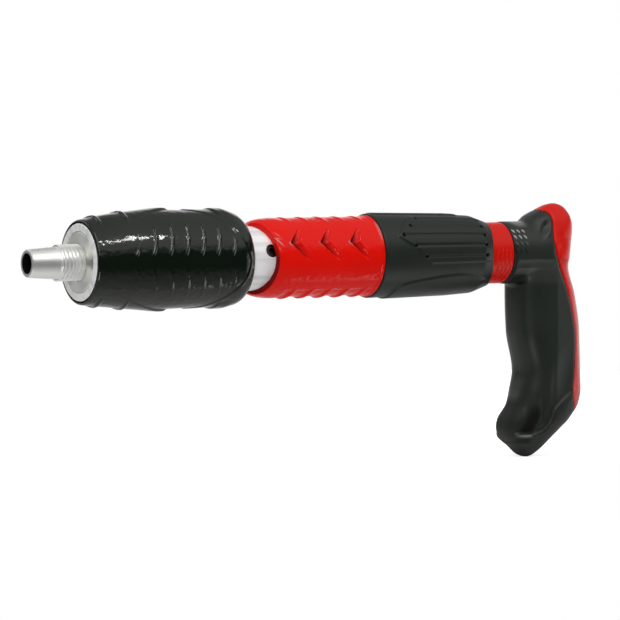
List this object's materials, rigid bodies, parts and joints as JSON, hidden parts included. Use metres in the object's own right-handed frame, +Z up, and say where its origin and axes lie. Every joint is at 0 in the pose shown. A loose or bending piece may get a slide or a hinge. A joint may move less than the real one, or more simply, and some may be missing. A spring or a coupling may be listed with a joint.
{
  "type": "ceiling nailer",
  "caption": "Hand-held press-to-fire ceiling nailer: nose pressed to the work slides the silenced front group back on the body tube and trips the striker; pistol grip at the rear.",
  "frame": {"origin": "centre of the muzzle tip, on the axis of the nail bore", "axes": "+X along the bore in the firing direction, +Z up, +Y to the user's left; the handle hangs below the rear end"},
  "size_m": [0.3171, 0.0494, 0.1294],
  "materials": {
    "turned_steel": "lathe turned, bright",
    "bright_tube": "bright drawn tube, fine turning marks",
    "gloss_black_rubber": "glossy moulded rubber",
    "red_rubber": "glossy moulded rubber",
    "satin_black_rubber": "satin moulded rubber",
    "red_moulding": "glossy moulded nylon",
    "black_grip": "soft overmoulded grip, satin",
    "seal_rubber": "matt",
    "tool_steel": "hardened and ground",
    "spring_steel": "oil tempered",
    "bronze": "turned"
  },
  "bodies": {
    "body": {"body_tube": "bright_tube", "lock_screws": "tool_steel", "front_bush": "bronze", "release_bush": "tool_steel", "main_spring": "spring_steel", "recoil_buffer": "seal_rubber", "rear_plug": "tool_steel", "middle_sleeve": "red_rubber", "rear_sleeve": "satin_black_rubber", "handle_core": "red_moulding", "handle_grip": "black_grip", "handle_pin": "tool_steel"},
    "front_group": {"muzzle_nose": "turned_steel", "breech_plug": "turned_steel", "silencer_tube": "bright_tube", "wiper_ring": "seal_rubber", "front_sleeve": "gloss_black_rubber", "push_tube": "tool_steel", "stop_ring": "spring_steel", "baffle_front": "tool_steel", "baffle_spacer": "tool_steel", "baffle_rear": "tool_steel", "return_spring": "spring_steel", "pin_spring": "spring_steel", "pin_retainer": "tool_steel"},
    "firing_pin": {"firing_pin": "tool_steel"},
    "striker": {"striker_rod": "tool_steel", "hammer": "tool_steel"},
    "sear_ball_upper": {"sear_ball_upper": "tool_steel"},
    "sear_ball_lower": {"sear_ball_lower": "tool_steel"}
  },
  "joints": [
    {"name": "press", "type": "slide", "parent": "body", "child": "front_group", "axis": [-1, 0, 0], "range_m": [0, 0.006], "stiffness_N_per_m": 6000, "springref_m": -0.008, "deforming": ["return_spring"]},
    {"name": "striker_cock", "type": "slide", "parent": "body", "child": "striker", "axis": [-1, 0, 0], "range_m": [0, 0.006], "deforming": ["main_spring"]},
    {"name": "pin_stroke", "type": "slide", "parent": "front_group", "child": "firing_pin", "axis": [1, 0, 0], "range_m": [0, 0.002], "stiffness_N_per_m": 400, "springref_m": -0.002, "deforming": ["pin_spring"]},
    {"name": "upper_ball_release", "type": "slide", "parent": "front_group", "child": "sear_ball_upper", "axis": [0, 0, 1], "range_m": [0, 0.00132]},
    {"name": "lower_ball_release", "type": "slide", "parent": "front_group", "child": "sear_ball_lower", "axis": [0, 0, -1], "range_m": [0, 0.00132]}
  ],
  "couplings": [
    {"joint": "striker_cock", "follows": "press", "ratio": 1},
    {"joint": "upper_ball_release", "follows": "press", "ratio": 0.22},
    {"joint": "lower_ball_release", "follows": "press", "ratio": 0.22}
  ]
}
